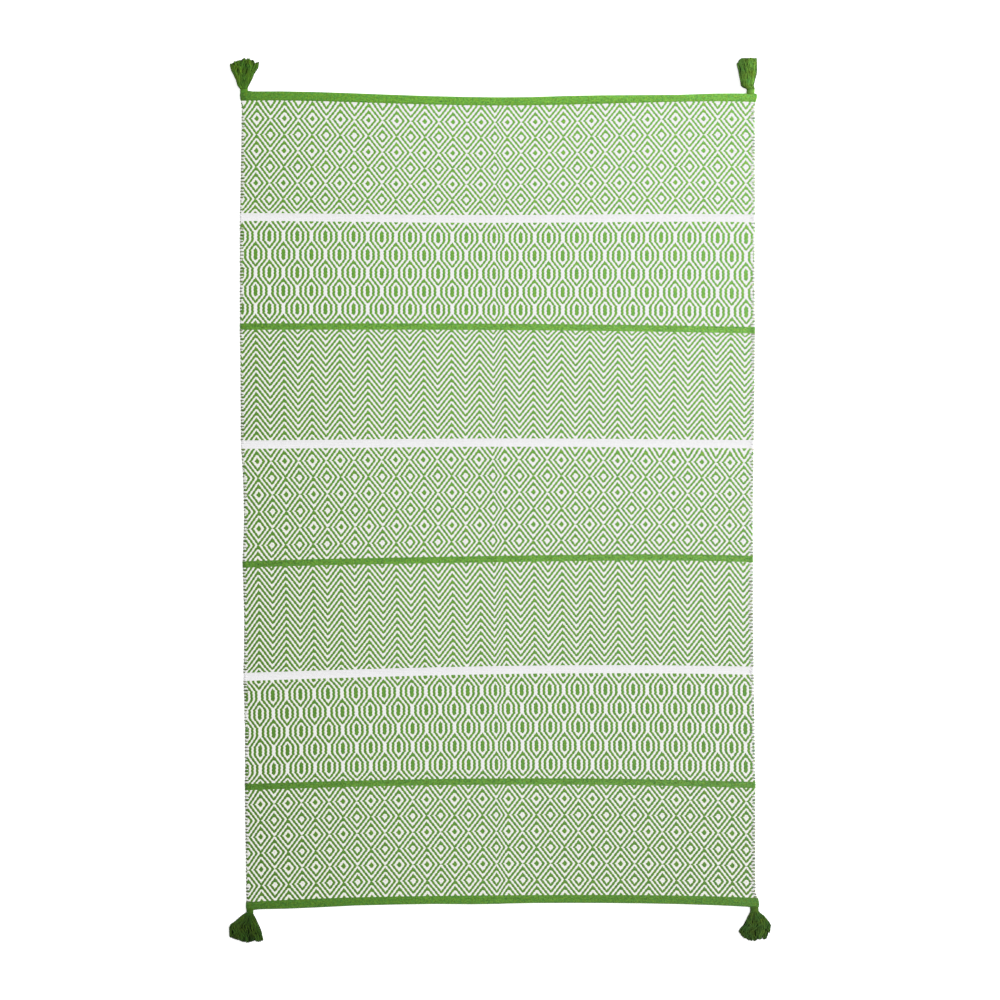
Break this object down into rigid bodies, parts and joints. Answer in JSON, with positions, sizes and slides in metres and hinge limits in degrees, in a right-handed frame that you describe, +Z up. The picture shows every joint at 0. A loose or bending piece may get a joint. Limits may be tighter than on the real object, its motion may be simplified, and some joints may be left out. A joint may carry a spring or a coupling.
{
  "type": "kilim rug",
  "caption": "Flat-woven cotton rug with bands of twill diamonds, hexagons and zigzags, turned hems and a tassel at each corner.",
  "frame": {"origin": "on the floor plane under the middle of the whole outline, tassels included", "axes": "+Y along the rug's length towards its far end, +X across it to the right, +Z up out of its face"},
  "size_m": [1.0656, 1.7406, 0.009],
  "materials": {
    "woven_cloth": "matt weft-faced cotton, leaf green and white yarns mixed",
    "tassel_yarn": "matt plied cotton yarn, dark green"
  },
  "bodies": {
    "root": {"rug": "woven_cloth", "tassel_far_left": "tassel_yarn", "tassel_far_right": "tassel_yarn", "tassel_near_left": "tassel_yarn", "tassel_near_right": "tassel_yarn"}
  },
  "joints": []
}
